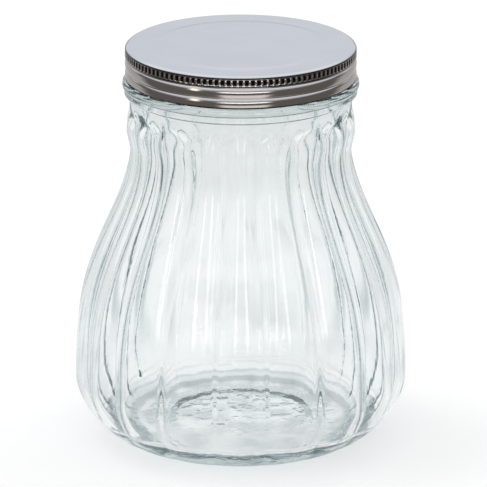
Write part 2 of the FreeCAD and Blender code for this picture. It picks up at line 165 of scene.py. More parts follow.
WHITE = (1.0, 1.0, 1.0)
GLASS_CLOUD = (0.78, 0.785, 0.79)         # soft clouds on the white that glass finds around it
GLASS_FAR = (0.84, 0.845, 0.84)           # the floor further off
GLASS_DARK = (0.58, 0.63, 0.64)           # the strips that draw its dark lines
GLASS_OVERHEAD = (0.72, 0.73, 0.74)       # the room above it
GLASS_WINDOW = (3.0, 3.0, 3.0)            # two tall windows in front of it
UNDER_SHADE = (0.60, 0.62, 0.625)         # patches of the floor under the jar
CONTACT_SHADE = (0.22, 0.28, 0.295)       # the floor where the foot keeps light out
STEEL_WHITE = (0.62, 0.61, 0.60)          # the floor that steel finds near the jar and behind it
STEEL_DARK = (0.18, 0.17, 0.16)           # and everywhere else
STEEL_FRONT = (1.25, 1.21, 1.20)          # the floor in front of it, lit by the box
STEEL_HORIZON = (0.42, 0.43, 0.45)        # the room along the horizon behind
STEEL_SKY = (0.80, 0.84, 0.92)            # above it
STEEL_OVERHEAD = (1.05, 1.08, 1.14)       # and overhead
STEEL_LEFT_BOX = (3.0, 2.8, 2.3)          # a warm soft box on the left
STEEL_FRONT_BOX = (3.0, 2.9, 2.87)        # and one low in front
PLAIN_LIGHT = (0.70, 0.70, 0.705)         # even light from all around on anything dull
FLOOR_FAINT = (0.50, 0.50, 0.50, 1.0)     # the share of the seen floor that a shadow darkens
FLOOR_PLAIN = (0.80, 0.80, 0.80, 1.0)     # the floor for all light that is neither seen nor bent
GLASS_BOUNCES = 64                        # light runs a long way round inside a thick foot


def degrees(*angles):
    """Angles given in degrees, in radians."""
    return tuple(math.radians(angle) for angle in angles)


STRIP_SOFT = math.radians(2.5)            # softness of the edge of a dark strip
STRIPS_FROM = (0.10, 0.24)                # distances over which the strips start on the floor
CLOUD_NOISE = {"Scale": 9.0, "Detail": 3.0}
CLOUD_RANGE = (0.42, 0.72)                # noise over which a cloud starts
PATCH_NOISE = {"Scale": 55.0, "Detail": 3.0}
PATCH_RANGE = (0.38, 0.66)                # noise over which a patch under the jar starts
PATCHES_END = (0.045, 0.070)              # distances over which the patches under the jar end
SHADED_END = (0.064, 0.068)               # the whole floor inside here is a little shaded
SHADED_AMOUNT = 0.10
SHADE_RING = (0.0640, 0.0670, 0.0010)     # a ring of shade: inside, outside and softness
SHADE_RING_AMOUNT = 0.30
CONTACT_RING = (0.0515, 0.0585, 0.0015)   # the ring where the foot stands
CONTACT_RING_AMOUNT = 0.50
FLOOR_FAR = (0.30, 0.50)                  # distances over which the floor gets greyer
FLOOR_BEHIND = degrees(100, 118)          # headings past which the floor lies behind the jar
TABLE_SOFT = 0.05                         # softness of the edge of the white floor near the jar
FRONT_FLOOR_SIDE = (*degrees(-20, 28), 0.09)      # the bright floor in front: low, high, softness
FRONT_FLOOR_AWAY = (0.14, 0.40, 0.05)     # and its distances, likewise

OVERHEAD_CLIMB = degrees(30, 50)          # heights over which the glass's room turns to overhead
WINDOW_SIDES = (degrees(-19, -13, 1.5), degrees(15, 22, 1.5))     # each: low, high, softness
WINDOW_CLIMB = degrees(2, 60, 4)
ROOM_BEHIND = degrees(112, 130)           # headings past which the steel's room is pale
ROOM_ABOVE = degrees(8, 16)               # and heights past which it is pale all round
SKY_CLIMB = degrees(0, 9)                 # heights from horizon to sky
STEEL_OVERHEAD_CLIMB = degrees(20, 45)    # and from sky to overhead
LEFT_BOX = (degrees(-50, -42, 3), degrees(-4, 16, 3))     # sides and heights, each with softness
FRONT_BOX = (degrees(-20, 28, 5), degrees(-8, 5, 3))

FLOOR_HALF = 3.0                          # half the width of the floor
SENSOR_WIDTH = 36.0                       # of the camera, in millimetres
VIEW_END = 50.0                           # the camera sees no further
KEY_PLACE = (-0.75, 0.25, 2.0)            # the lamps' places
FILL_PLACE = (0.8, 0.7, 1.8)
LAMP_SIZE = 0.6


# ---- sizes and colours ------------------------------------------------------------------------

def length(name, words, default):
    """A size in metres, for a property group."""
    return FloatProperty(name=name, description=words, default=default, min=0.0, subtype="DISTANCE",
                         unit="LENGTH", precision=5)


def colour(name, words, default):
    """A colour, for a property group."""
    return FloatVectorProperty(name=name, description=words, default=default, min=0.0, max=1.0,
                               size=3, subtype="COLOR")


def amount(name, words, default, high=1.0):
    """A plain number from nought up, for a property group."""
    return FloatProperty(name=name, description=words, default=default, min=0.0, max=high,
                         subtype="FACTOR" if high == 1.0 else "NONE", precision=4)


class GlassBodySettings(bpy.types.PropertyGroup):
    lobes: IntProperty(name="Lobes", description="Lobes around the body", default=18, min=3)
    belly_radius: length("Belly radius", "Radius over the lobes at their widest", JAR_HIGH.y)
    belly_height: length("Belly height", "Height of the widest ring", 30.0 * MM)
    foot_radius: length("Foot radius", "Radius where the lobes leave the ground", 51.0 * MM)
    heel_power: amount("Heel power", "Roundness of the heel, 2 is an ellipse", 1.68, 4.0)
    waist_radius: length("Waist radius", "Radius over the lobes at the waist", 52.0 * MM)
    waist_height: length("Waist height", "Height of the waist", 140.0 * MM)
    flank_skew: amount("Flank skew", "More than 1 keeps the belly full", 1.434, 4.0)
    brow_radius: length("Brow radius", "Radius over the lobes at the brow above the waist",
                        53.6 * MM)
    brow_height: length("Brow height", "Height of the brow", 149.5 * MM)
    brow_fall: length("Brow fall", "Loss of radius from the brow to the top of the lobes", 2.4 * MM)
    lobe_top: length("Lobe top", "Height where the lobes run out on the neck", 159.0 * MM)
    crease_depth: length("Crease depth", "Depth of the creases between the lobes", 3.7 * MM)
    neck_radius: length("Neck radius", "Radius of the plain neck", 51.7 * MM)
    neck_foot: length("Neck foot", "Height where the neck starts to fill the creases", 144.0 * MM)
    neck_foot_radius: length("Neck foot radius", "Radius of the neck where it starts", 48.3 * MM)
    crease_fade: amount("Crease fade", "Power of the height with which the creases fade down the heel",
                        0.7, 4.0)
    crease_round: length("Crease round", "Rounding of the creases", 3.0 * MM)
    wall: length("Wall", "Thickness of the lobed wall", 3.0 * MM)
    heel_extra: length("Heel extra", "Extra glass in the heel where the floor rounds up", 0.6 * MM)
    waviness: length("Waviness", "Unevenness of the inner wall", 0.16 * MM)
    floor_thickness: length("Floor thickness", "Glass at the middle of the floor", 7.0 * MM)
    floor_dish: length("Floor dish", "Rise of the floor from its middle to its edge", 3.5 * MM)
    floor_round: length("Floor round", "Rise of the floor's edge into the wall", 2.5 * MM)
    floor_reach: length("Floor reach", "How far the floor ends inside the wall", 2.5 * MM)
    mouth_radius: length("Mouth radius", "Radius of the mouth", 46.5 * MM)
    tint: colour("Tint", "Colour that thick glass takes", (0.46, 0.60, 0.62))
    tint_strength: amount("Tint strength", "Strength of the tint, for each metre", 25.0, 500.0)
    base_ripple: amount("Base ripple", "Ripples of the foot and the floor, beside the wall's", 5.0, 50.0)
    # painted shade and painted reflection of the lid on the outside of the collar, not a colour of the
    # glass
    collar_painted_shade: colour("Collar painted shade", "Colour of the thick collar under the lid", (0.60, 0.66, 0.64))
    shadow_tint: colour("Shadow tint", "Light that one surface lets through to a shadow",
                        (0.90, 0.93, 0.93))
    ior: amount("Index of refraction", "How strongly the glass bends light", 1.52, 3.0)


class SteelLidSettings(bpy.types.PropertyGroup):
    skirt_radius: length("Skirt radius", "Radius of the skirt between its beads", 53.0 * MM)
    bulge: length("Bulge", "How far the band and the beads stand out", 0.7 * MM)
    sheet: length("Sheet", "Thickness of the steel sheet", 0.5 * MM)
    knurls: IntProperty(name="Knurls", description="Knurls around the band", default=120, min=12)
    knurl_depth: length("Knurl depth", "Depth of the flutes between the knurls", 0.5 * MM)
    knurl_low: length("Knurl low", "Lower end of the knurls, under the lid's shoulder", 4.6 * MM)
    knurl_high: length("Knurl high", "Upper end of the knurls, under the lid's shoulder", 1.4 * MM)
    panel_radius: length("Panel radius", "Radius of the raised panel", 39.0 * MM)
    panel_rise: length("Panel rise", "Panel above the channel around it", 0.45 * MM)
    steel: colour("Steel", "Colour of the bright sheet", (0.66, 0.655, 0.65))
    # painted shade with a warm painted reflection: the skirt is the same steel as the top
    skirt_painted_shade: colour("Skirt painted shade", "Colour of the rolled skirt, browner than the top",
                        (0.50, 0.47, 0.45))
    gloss: amount("Roughness", "Roughness of the bright sheet", 0.13)


class StudioSettings(bpy.types.PropertyGroup):
    camera_distance: length("Camera distance", "From the jar's axis to the camera", 2.5516)
    camera_height: length("Camera height", "Height of the camera", 0.91755)
    camera_side: length("Camera side", "Camera to the right of the jar's axis", 1.25 * MM)
    camera_tilt: FloatProperty(name="Camera tilt", description="How far the camera looks down",
                               default=math.radians(17.938), subtype="ANGLE", unit="ROTATION")
    lens: FloatProperty(name="Lens", description="Focal length", default=423.7, min=1.0,
                        subtype="DISTANCE_CAMERA", unit="CAMERA")
    floor_white: amount("Floor white", "Light that the floor sends out by itself", 0.56)
    table_radius: length("Table radius", "White floor in front of the jar that steel finds", 0.15)
    strips: IntProperty(name="Strips", description="Dark strips around the jar", default=8, min=2)
    strip_width: FloatProperty(name="Strip width", description="Width of a dark strip",
                               default=math.radians(6.0), subtype="ANGLE", unit="ROTATION")
    key_power: amount("Key power", "Power of the main lamp, in watts", 9.0, 1000.0)
    fill_power: amount("Fill power", "Power of the second lamp, in watts", 4.0, 1000.0)


# ---- profiles ---------------------------------------------------------------------------------

def rounded_path(corners):
    """Points along straight lines whose corners are arcs: corners are (radius, height, round).

    At each corner the arc has the radius `round` and is tangent to both lines, so it starts and
    ends at round / tan(half the angle between the lines) from the corner.
    """
    points = [corners[0][:2]]
    for before, (x, y, bend), after in zip(corners, corners[1:], corners[2:]):
        corner = np.array((x, y))
        back = np.array(before[:2]) - corner
        ahead = np.array(after[:2]) - corner
        back /= np.linalg.norm(back)
        ahead /= np.linalg.norm(ahead)
        half = 0.5 * math.acos(float(np.clip(back @ ahead, -1.0, 1.0)))
        if bend == 0.0 or half > 0.5 * math.pi - NEARLY_STRAIGHT:
            points.append(tuple(corner))
            continue
        middle = corner + (back + ahead) / np.linalg.norm(back + ahead) * bend / math.sin(half)
        first = corner + back * bend / math.tan(half) - middle
        last = corner + ahead * bend / math.tan(half) - middle
        turn = math.atan2(first[0] * last[1] - first[1] * last[0], first @ last)
        for angle in np.linspace(0.0, turn, ARC_POINTS):
            spun = (first[0] * math.cos(angle) - first[1] * math.sin(angle),
                    first[0] * math.sin(angle) + first[1] * math.cos(angle))
            points.append((middle[0] + spun[0], middle[1] + spun[1]))
    points.append(corners[-1][:2])
    return np.array(points)


def smooth_step(share):
    """0 to 1 with level ends: 3 s^2 - 2 s^3, of a share clipped to 0..1."""
    share = np.clip(share, 0.0, 1.0)
    return share * share * (3.0 - 2.0 * share)


def lobe_peak(height, glass):
    """Radius over the lobes at each height.

    Heel: a superellipse, foot + (belly - foot) (1 - (1 - z/h)^p)^(1/p).  Flank: a skewed cosine
    from the belly to the waist.  Brow: a smooth step out from the waist, then a parabola back in.
    """
    low = np.clip(1.0 - height / glass.belly_height, 0.0, 1.0)
    power = glass.heel_power
    bulge = (1 - low ** power) ** (1 / power)
    heel = glass.foot_radius + (glass.belly_radius - glass.foot_radius) * bulge
    climb = glass.waist_height - glass.belly_height
    share = np.clip((height - glass.belly_height) / climb, 0.0, 1.0)
    fullness = 0.5 + 0.5 * np.cos(math.pi * share ** glass.flank_skew)
    flank = glass.waist_radius + (glass.belly_radius - glass.waist_radius) * fullness
    rise = smooth_step((height - glass.waist_height) / (glass.brow_height - glass.waist_height))
    brow = glass.waist_radius + (glass.brow_radius - glass.waist_radius) * rise
    past = np.maximum(height - glass.brow_height, 0.0) / (glass.lobe_top - glass.brow_height)
    brow = brow - glass.brow_fall * past ** 2
    outline = np.where(height < glass.belly_height, heel, flank)
    return np.where(height > glass.waist_height, brow, outline)


def lobed_radius(peak, depth, angle, lobes, crease_round, wall=0.0):
    """Radius of a ring of lobes, at angles measured from the nearest lobe's middle.

    Each lobe is the arc through its peak and the creases beside it: with half chord a and rise s
    of the peak over that chord, the arc's radius is (a^2 + s^2) / 2 s, and its middle lies on the
    lobe's own radius, short of the peak by that much.  A round fills each crease: its middle is on
    the crease's own radius, and both arcs touch on the line between their middles.  With a wall it
    is the ring that lies this far inside, so the lobe's arc gets smaller and the round larger.
    """
    half_angle = math.pi / lobes
    crease = peak - depth
    half_chord = crease * math.sin(half_angle)
    rise = peak - crease * math.cos(half_angle)
    bend = (half_chord ** 2 + rise ** 2) / (2.0 * rise)
    middle = peak - bend
    reach = bend + crease_round
    aside = middle * math.sin(half_angle)
    away = middle * math.cos(half_angle) + np.sqrt(reach ** 2 - aside ** 2)
    share = (bend - wall) / reach
    touch = np.arctan2(away * math.sin(half_angle) * share,
                       middle + (away * math.cos(half_angle) - middle) * share)
    lobe = middle * np.cos(angle) + np.sqrt((bend - wall) ** 2 - (middle * np.sin(angle)) ** 2)
    from_crease = half_angle - np.abs(angle)
    round_radius = crease_round + wall
    across = np.minimum(away * np.sin(from_crease), round_radius)
    filled = away * np.cos(from_crease) - np.sqrt(round_radius ** 2 - across ** 2)
    return np.where(np.abs(angle) > touch, filled, lobe)


def heel_fade(height, glass):
    """Share of the crease depth: a power of the height below the belly, and 1 above it."""
    return np.clip(height / glass.belly_height, 0.0, 1.0) ** glass.crease_fade


def smooth_max(first, second, blend):
    """The larger of two values, with a soft change over `blend`."""
    return 0.5 * (first + second + np.sqrt((first - second) ** 2 + blend ** 2))


# ---- meshes -----------------------------------------------------------------------------------

def closed_shell(name, radii, heights, angles):
    """A closed surface: rows of rings from one pole to the other, each ring closed on itself.

    radii and heights are (rows, columns); the first and last rows are the poles, one point each.
    A ring's point is (r cos a, r sin a, z).  The path of rows runs so that (direction of the
    columns) x (direction of the rows) points out of the solid.
    """
    rows, columns = radii.shape
    ring = np.stack([radii * np.cos(angles), radii * np.sin(angles), heights], axis=-1)[1:-1]
    start = (0.0, 0.0, float(heights[0, 0]))
    end = (0.0, 0.0, float(heights[-1, 0]))
    points = np.concatenate([ring.reshape(-1, 3), [start, end]])
    index = np.arange((rows - 2) * columns).reshape(rows - 2, columns)
    beside = np.roll(index, -1, axis=1)
    quads = np.stack([index[:-1], beside[:-1], beside[1:], index[1:]], axis=-1).reshape(-1, 4)
    first = np.full(columns, len(points) - 2)
    last = np.full(columns, len(points) - 1)
    caps = np.concatenate([np.stack([first, beside[0], index[0]], axis=-1),
                           np.stack([last, index[-1], beside[-1]], axis=-1)])
    mesh = bpy.data.meshes.new(name)
    mesh.from_pydata(points.tolist(), [], quads.tolist() + caps.tolist())
    mesh.validate()
    mesh.shade_smooth()
    piece = bpy.data.objects.new(name, mesh)
    bpy.context.scene.collection.objects.link(piece)
    return piece


def lobe_columns(lobes):
    """Angles of the columns, and each one's angle from the middle of its own lobe.

    Within a lobe the place runs from -1 to 1, and sign(s) (1 - (1 - |s|)^q) crowds the columns
    towards the creases.  A lobe is centred on -Y.
    """
    half_angle = math.pi / lobes
    place = np.linspace(-1.0, 1.0, COLUMNS_PER_LOBE, endpoint=False)
    local = half_angle * np.sign(place) * (1.0 - (1.0 - np.abs(place)) ** LOBE_CROWDING)
    middles = -0.5 * math.pi + 2.0 * half_angle * np.arange(lobes)
    angles = (middles[:, None] + local[None, :]).ravel()
    return angles, np.tile(local, lobes)


def inner_waves(angles, heights, size):
    """Unevenness of the inner wall: a sum of upright waves that drift around with the height.

    A wave is sin(n a + lean z + start) (steady + (1 - steady) sin(swell z + phase)), and the sum is
    divided by the root of their number.
    """
    draw = np.random.default_rng(WAVE_SEED)
    total = np.zeros(np.broadcast(angles, heights).shape)
    for count in WAVE_COUNTS:
        lean, swell, start, phase = draw.uniform(-1.0, 1.0, 4)
        upright = np.sin(count * angles + WAVE_LEAN * lean * heights + math.pi * start)
        pulse = np.sin(WAVE_SWELL * heights * (1.0 + 0.5 * swell) + math.pi * phase)
        total += upright * (WAVE_STEADY + (1.0 - WAVE_STEADY) * pulse)
    return size * total / math.sqrt(len(WAVE_COUNTS))


# ---- the glass body ---------------------------------------------------------------------------

def in_metres(profile):
    """Profile points that are given in millimetres."""
    return [tuple(value * MM for value in point) for point in profile]


def lobed_rows(glass, local):
    """Radii and heights of the lobes and the neck that fills them, from the foot up.

    The neck is a cone up to the top of the lobes and straight above it.  The outside is the larger
    of the two radii, with a soft change.
    """
    turn = np.linspace(0.0, 0.5 * math.pi, HEEL_ROWS)
    heel = glass.belly_height * (1.0 - np.cos(turn))
    flank = np.linspace(glass.belly_height, glass.waist_height, FLANK_ROWS)[1:]
    neck = np.linspace(glass.waist_height, glass.lobe_top + PLAIN_NECK, NECK_ROWS)[1:]
    height = np.concatenate([heel, flank, neck])[:, None]
    depth = glass.crease_depth * heel_fade(height, glass)
    lobes = lobed_radius(lobe_peak(height, glass), depth, local[None, :], glass.lobes,
                         glass.crease_round)
    cone = (glass.neck_radius - glass.neck_foot_radius) / (glass.lobe_top - glass.neck_foot)
    filled = glass.neck_radius + cone * np.minimum(height - glass.lobe_top, 0.0)
    return smooth_max(lobes, filled, NECK_BLEND), height


def outer_rows(glass, local):
    """Radii and heights of the outside, from the middle of the hollow foot up to the rim."""
    hollow = rounded_path(in_metres(HOLLOW_PROFILE))
    body, height = lobed_rows(glass, local)
    collar = rounded_path([
        (glass.neck_radius, glass.lobe_top + PLAIN_NECK, 0.0),
        (glass.neck_radius, NECK_END, NECK_END_ROUND),
        *in_metres(COLLAR_PROFILE),
        (FINISH_RADIUS, JAR_HIGH.z, RIM_ROUND),
        (RIM_RADIUS, JAR_HIGH.z, 0.0),
    ])[1:]
    spread = np.ones((1, len(local)))
    radii = np.concatenate([hollow[:, :1] * spread, body * spread, collar[:, :1] * spread])
    heights = np.concatenate([hollow[:, 1:] * spread, height * spread, collar[:, 1:] * spread])
    return radii, heights


def inner_wall(glass, angles, local, height, edge):
    """Radii of the lobed wall inside, down to the floor's edge at the height `edge`.

    The wall follows the lobes at an even thickness.  It is a little thicker low down, uneven in
    between, and turns smoothly into the round mouth above the brow.
    """
    depth = glass.crease_depth * heel_fade(height, glass)
    outline = lobe_peak(np.minimum(height, glass.lobe_top), glass)
    wall = lobed_radius(outline, depth, local[None, :], glass.lobes, glass.crease_round, glass.wall)
    low = 1.0 - smooth_step((height - edge) / HEEL_HEIGHT)
    wall = wall - glass.heel_extra * low
    neck_high = glass.lobe_top + PLAIN_NECK
    into_neck = smooth_step((height - glass.brow_height) / (neck_high - glass.brow_height))
    waves = inner_waves(angles[None, :], height, glass.waviness)
    wall = wall + waves * (1.0 - into_neck) * (1.0 - low)
    return wall * (1.0 - into_neck) + glass.mouth_radius * into_neck


def floor_bend(glass, ring, edge):
    """Radii and heights of the elliptic bend from the wall's last ring down to the floor.

    With the turn t from 0 to a right angle, the ring moves in by reach (1 - cos t) and down by
    round sin t, and loses part of its lobes on the way.
    """
    turn = np.linspace(0.0, 0.5 * math.pi, FLOOR_ROWS)[1:, None]
    inwards = 1.0 - np.cos(turn)
    rounder = BEND_ROUNDING * inwards
    radii = ring * (1.0 - rounder) + ring.mean() * rounder - glass.floor_reach * inwards
    return radii, edge - glass.floor_round * np.sin(turn)


def inner_rows(glass, angles, local):
    """Radii and heights of the inside, from the rim down to the middle of the floor.

    It turns round at the mouth, follows the lobed wall, and bends into the floor.  The floor's
    height above its middle is dish s^4, with s the share of its radius.
    """
    mouth = rounded_path([
        (RIM_RADIUS, JAR_HIGH.z, 0.0),
        (glass.mouth_radius, JAR_HIGH.z, RIM_ROUND),
        (glass.mouth_radius, glass.lobe_top + MOUTH_FOOT, 0.0),
    ])[1:]
    edge = glass.floor_thickness + glass.floor_dish + glass.floor_round
    height = np.linspace(glass.lobe_top + WALL_TOP, edge, WALL_ROWS)[:, None]
    wall = inner_wall(glass, angles, local, height, edge)
    bend_radii, bend_heights = floor_bend(glass, wall[-1:], edge)
    level = np.array(FLOOR_LEVELS)[:, None]
    dish = glass.floor_thickness + glass.floor_dish * level ** DISH_POWER
    spread = np.ones((1, len(local)))
    radii = np.concatenate([mouth[:, :1] * spread, wall, bend_radii, bend_radii[-1:] * level])
    heights = np.concatenate([mouth[:, 1:] * spread, height * spread, bend_heights * spread,
                              dish * spread])
    return radii, heights


def glass_body(glass):
    """The jar's glass as one closed surface, outside and inside joined over the rim."""
    angles, local = lobe_columns(glass.lobes)
    outer_radii, outer_heights = outer_rows(glass, local)
    inner_radii, inner_heights = inner_rows(glass, angles, local)
    radii = np.concatenate([outer_radii, inner_radii])
    heights = np.concatenate([outer_heights, inner_heights])
    return closed_shell("glass_body", radii, heights, angles[None, :])


# ---- the lid ----------------------------------------------------------------------------------

def skirt_rows(lid, low, bead):
    """The skirt's points between two heights, over its two beads.

    The radius is skirt + bulge |sin(2 pi s)|^p, with s the share of the height.
    """
    height = np.linspace(low, bead, SKIRT_ROWS)
    share = (height - low) / (bead - low)
    bulge = lid.bulge * np.abs(np.sin(2.0 * math.pi * share)) ** BEAD_POWER
    return np.stack([lid.skirt_radius + bulge, height], axis=-1)


def lid_profile(lid):
    """The lid's outer profile, from the hem up the skirt and in over the top, as (radius, height)."""
    top = LID_HIGH.z
    shoulder = top - SHOULDER_FALL
    band = lid.skirt_radius + lid.bulge
    bead = shoulder - BEAD_END
    edge = lid.panel_radius
    upright = np.linspace(bead + BAND_LOW, shoulder - BAND_HIGH, BAND_ROWS)
    rim = np.array((band - RIM_INSET, shoulder))
    step = np.array((edge + STEP_WIDTH, top - lid.panel_rise))
    top_points = rounded_path([
        (lid.skirt_radius, bead, 0.0),
        (band, bead + BAND_FOOT, BAND_FOOT_ROUND),
        *[(band, height, 0.0) for height in upright],
        (band, shoulder - BEVEL_HEIGHT, BEVEL_ROUND),
        (band - BEVEL_WIDTH, shoulder, BEVEL_ROUND),
        *[(*(rim + (step - rim) * share), 0.0) for share in RIM_SHARES],
        (*step, STEP_ROUND),
        (edge, top, STEP_ROUND),
        *[(edge - inset, top, 0.0) for inset in PANEL_INSETS],
        (0.0, top, 0.0),
    ])[1:]
    return np.concatenate([skirt_rows(lid, LID_LOW.z - HEM_DROP, bead), top_points])


def inward(profile, distance):
    """The profile moved square to itself, to its left, by a distance."""
    along = np.gradient(profile, axis=0)
    along /= np.linalg.norm(along, axis=1, keepdims=True)
    return profile + distance * np.stack([-along[:, 1], along[:, 0]], axis=-1)


def flutes(lid, angles, heights):
    """Share of the knurls' depth that is cut away at each point: 0 on a rib, 1 on the sunk band.

    It is 1 - |sin|^p sqrt(sin(pi s)), with s the share of the height between the knurls' ends, and
    fades out at both ends.
    """
    shoulder = LID_HIGH.z - SHOULDER_FALL
    low, high = shoulder - lid.knurl_low, shoulder - lid.knurl_high
    fade = smooth_step((heights - low) / KNURL_FADE) * smooth_step((high - heights) / KNURL_FADE)
    share = np.clip((heights - low) / (high - low), 0.0, 1.0)
    around = np.abs(np.sin(0.5 * lid.knurls * angles)) ** RIB_POWER
    return (1.0 - around * np.sqrt(np.sin(math.pi * share))) * fade


def steel_lid(lid):
    """The lid as one closed sheet: the underside out to the hem, then up and over the outside.

    The underside is the outside moved in by the sheet's thickness, with fewer rows.  The knurls are
    on the outside only: the radius loses the knurls' depth times the flutes.
    """
    outside = lid_profile(lid)
    under = inward(outside, lid.sheet)[::-1]
    under = np.concatenate([under[:-1:UNDER_STEP], under[-1:]])
    under[0] = (0.0, under[1, 1])
    profile = np.concatenate([under, outside])
    columns = lid.knurls * COLUMNS_PER_KNURL
    angles = np.linspace(0.0, 2.0 * math.pi, columns, endpoint=False)[None, :]
    spread = np.ones((1, columns))
    radii, heights = profile[:, :1] * spread, profile[:, 1:] * spread
    is_outside = (np.arange(len(profile)) >= len(under))[:, None]
    radii = radii - lid.knurl_depth * flutes(lid, angles, heights) * is_outside
    return closed_shell("steel_lid", radii, heights, angles)


# ---- node helpers -----------------------------------------------------------------------------

def new_material(name):
    """A material, and its node tree, which is empty."""
    material = bpy.data.materials.new(name)
    material.use_nodes = True
    material.node_tree.nodes.clear()
    return material, material.node_tree


def add_node(tree, kind, inputs=None, **settings):
    """Add a node, set its plain settings, and set or link its inputs by name."""
    node = tree.nodes.new(kind)
    for key, value in settings.items():
        setattr(node, key, value)
    for key, value in (inputs or {}).items():
        socket = node.inputs[key]
        if isinstance(value, bpy.types.NodeSocket):
            tree.links.new(value, socket)
        else:
            socket.default_value = value
    return node


def calculate(tree, operation, *values):
    """A Math node on values or sockets; returns its result."""
    return add_node(tree, "ShaderNodeMath", dict(enumerate(values)), operation=operation).outputs[0]


def ramp_value(tree, value, low, high, start=0.0, end=1.0):
    """A smooth step of a value between low and high, from start to end."""
    node = add_node(tree, "ShaderNodeMapRange", {"Value": value, "From Min": low, "From Max": high,
                                                 "To Min": start, "To Max": end},
                    interpolation_type="SMOOTHSTEP")
    return node.outputs["Result"]


def window(tree, value, low, high, soft):
    """1 where a value lies between low and high, with soft edges."""
    above = ramp_value(tree, value, low - soft, low + soft)
    below = ramp_value(tree, value, high - soft, high + soft, 1.0, 0.0)
    return calculate(tree, "MULTIPLY", above, below)


def blend_colour(tree, factor, first, second):
    """One colour blended into another by a factor."""
    node = tree.nodes.new("ShaderNodeMix")
    node.data_type = "RGBA"
    for index, value in ((0, factor), (6, first), (7, second)):
        if isinstance(value, bpy.types.NodeSocket):
            tree.links.new(value, node.inputs[index])
        elif index == 0:
            node.inputs[index].default_value = value
        else:
            node.inputs[index].default_value = (*value, 1.0)
    return node.outputs[2]


def patch(tree, first, first_span, second, second_span):
    """1 where two values lie between their own bounds; a span is (low, high, softness)."""
    return calculate(tree, "MULTIPLY", window(tree, first, *first_span),
                     window(tree, second, *second_span))


def axis_distance(tree, x, y):
    """The distance from the jar's axis."""
    flat = add_node(tree, "ShaderNodeCombineXYZ", {"X": x, "Y": y})
    reach = add_node(tree, "ShaderNodeVectorMath", {0: flat.outputs[0]}, operation="LENGTH")
    return reach.outputs["Value"]


def uneven_surface_group():
    """A shared group: two sizes of soft noise, as a relief and as a patchy mask."""
    group = bpy.data.node_groups.new("uneven_surface", "ShaderNodeTree")
    interface = group.interface
    for name, kind in (("Vector", "NodeSocketVector"), ("Broad Scale", "NodeSocketFloat"),
                       ("Fine Scale", "NodeSocketFloat"), ("Fine Share", "NodeSocketFloat")):
        interface.new_socket(name, in_out="INPUT", socket_type=kind)
    for name in ("Relief", "Patches"):
        interface.new_socket(name, in_out="OUTPUT", socket_type="NodeSocketFloat")
    source = group.nodes.new("NodeGroupInput")
    result = group.nodes.new("NodeGroupOutput")
    broad = add_node(group, "ShaderNodeTexNoise", {
        "Vector": source.outputs["Vector"], "Scale": source.outputs["Broad Scale"], "Detail": 2.0})
    fine = add_node(group, "ShaderNodeTexNoise", {
        "Vector": source.outputs["Vector"], "Scale": source.outputs["Fine Scale"], "Detail": 3.0})
    share = source.outputs["Fine Share"]
    relief = calculate(group, "MULTIPLY_ADD", fine.outputs[0], share, broad.outputs[0])
    patches = ramp_value(group, broad.outputs[0], *UNEVEN_PATCHES)
    group.links.new(relief, result.inputs["Relief"])
    group.links.new(patches, result.inputs["Patches"])
    return group


def use_group(tree, group, inputs):
    """Place a shared group in a material."""
    node = tree.nodes.new("ShaderNodeGroup")
    node.node_tree = group
    for key, value in inputs.items():
        if isinstance(value, bpy.types.NodeSocket):
            tree.links.new(value, node.inputs[key])
        else:
            node.inputs[key].default_value = value
    return node


# ---- materials --------------------------------------------------------------------------------

def glass_relief(tree, glass, place, height, uneven):
    """The glass's relief: soft unevenness everywhere, and ripples that fade out above the foot."""
    ripples = add_node(tree, "ShaderNodeTexNoise", {"Vector": place, "Scale": RIPPLE_SCALE,
                                                    "Detail": 2.0})
    base = ramp_value(tree, height, *RIPPLE_HEIGHTS, glass.base_ripple, 0.0)
    relief = calculate(tree, "MULTIPLY_ADD", ripples.outputs[0], base, uneven.outputs["Relief"])
    bump = add_node(tree, "ShaderNodeBump", {"Height": relief, "Strength": 0.35,
                                             "Distance": 0.4 * MM})
    return bump.outputs[0]


def glass_tone(tree, glass, height, reach, uneven):
    """The glass's colour: all but white in patches, with shade and reflection painted on the collar's
    outside.
    """
    tone = blend_colour(tree, uneven.outputs["Patches"], WHITE, GLASS_PATCH)
    # Painted shade and painted reflection of the lid: a grey-green band on the outside of the collar.
    beside = window(tree, height, *COLLAR_PAINTED_SHADE)
    outside = ramp_value(tree, reach, *[glass.neck_radius + past for past in COLLAR_SHADE_REACH])
    collar = calculate(tree, "MULTIPLY", beside, outside)
    return blend_colour(tree, collar, tone, tuple(glass.collar_painted_shade))


